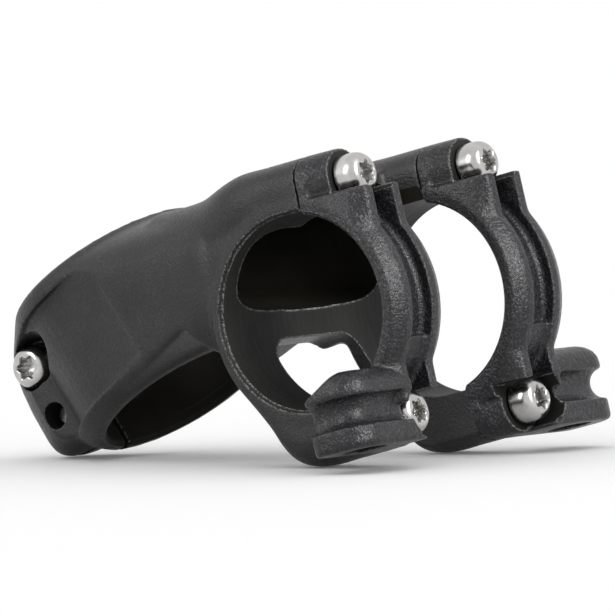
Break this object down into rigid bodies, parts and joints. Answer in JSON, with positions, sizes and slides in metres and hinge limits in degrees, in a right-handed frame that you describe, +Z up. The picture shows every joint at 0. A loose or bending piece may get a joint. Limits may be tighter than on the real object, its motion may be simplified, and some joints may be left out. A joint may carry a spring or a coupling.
{
  "type": "handlebar stem",
  "caption": "Black forged handlebar stem: a hollow extension with a split steerer clamp, open arms and separate faceplates with grooved accessory lugs, held by domed six-lobe screws.",
  "frame": {"origin": "middle of the base of the bounding box, on the table the stem stands on", "axes": "+Z up from the table, +Y towards the steerer clamp, +X towards the rider's left; the handlebar lies along X and the faceplates face -Y"},
  "size_m": [0.0728, 0.0944, 0.0516],
  "materials": {
    "body": "satin black anodised over a bead-blasted forging",
    "faceplate": "satin black anodised over a bead-blasted forging",
    "screw": "polished stainless"
  },
  "bodies": {
    "body": {"stem_body": "body"},
    "faceplate_right": {"faceplate_right": "faceplate"},
    "faceplate_bolt_upper_right": {"faceplate_bolt_upper_right": "screw"},
    "faceplate_bolt_lower_right": {"faceplate_bolt_lower_right": "screw"},
    "faceplate_left": {"faceplate_left": "faceplate"},
    "faceplate_bolt_upper_left": {"faceplate_bolt_upper_left": "screw"},
    "faceplate_bolt_lower_left": {"faceplate_bolt_lower_left": "screw"},
    "pinch_bolt_upper": {"pinch_bolt_upper": "screw"},
    "pinch_bolt_lower": {"pinch_bolt_lower": "screw"}
  },
  "joints": [
    {"name": "faceplate_right_lift", "type": "slide", "parent": "body", "child": "faceplate_right", "axis": [0, -0.9744, 0.2248], "range_m": [0, 0.014]},
    {"name": "faceplate_bolt_upper_right_turn", "type": "hinge", "parent": "faceplate_right", "child": "faceplate_bolt_upper_right", "pos_m": [-0.017, -0.03165, 0.04689], "axis": [0, -0.9744, 0.2248], "continuous": true},
    {"name": "faceplate_bolt_lower_right_turn", "type": "hinge", "parent": "faceplate_right", "child": "faceplate_bolt_lower_right", "pos_m": [-0.017, -0.04055, 0.0083], "axis": [0, -0.9744, 0.2248], "continuous": true},
    {"name": "faceplate_left_lift", "type": "slide", "parent": "body", "child": "faceplate_left", "axis": [0, -0.9744, 0.2248], "range_m": [0, 0.014]},
    {"name": "faceplate_bolt_upper_left_turn", "type": "hinge", "parent": "faceplate_left", "child": "faceplate_bolt_upper_left", "pos_m": [0.017, -0.03165, 0.04689], "axis": [0, -0.9744, 0.2248], "continuous": true},
    {"name": "faceplate_bolt_lower_left_turn", "type": "hinge", "parent": "faceplate_left", "child": "faceplate_bolt_lower_left", "pos_m": [0.017, -0.04055, 0.0083], "axis": [0, -0.9744, 0.2248], "continuous": true},
    {"name": "pinch_bolt_upper_turn", "type": "hinge", "parent": "body", "child": "pinch_bolt_upper", "pos_m": [-0.0053, 0.03984, 0.01524], "axis": [-1, 0, 0], "continuous": true},
    {"name": "pinch_bolt_lower_turn", "type": "hinge", "parent": "body", "child": "pinch_bolt_lower", "pos_m": [0.0053, 0.03435, 0.00737], "axis": [1, 0, 0], "continuous": true}
  ]
}
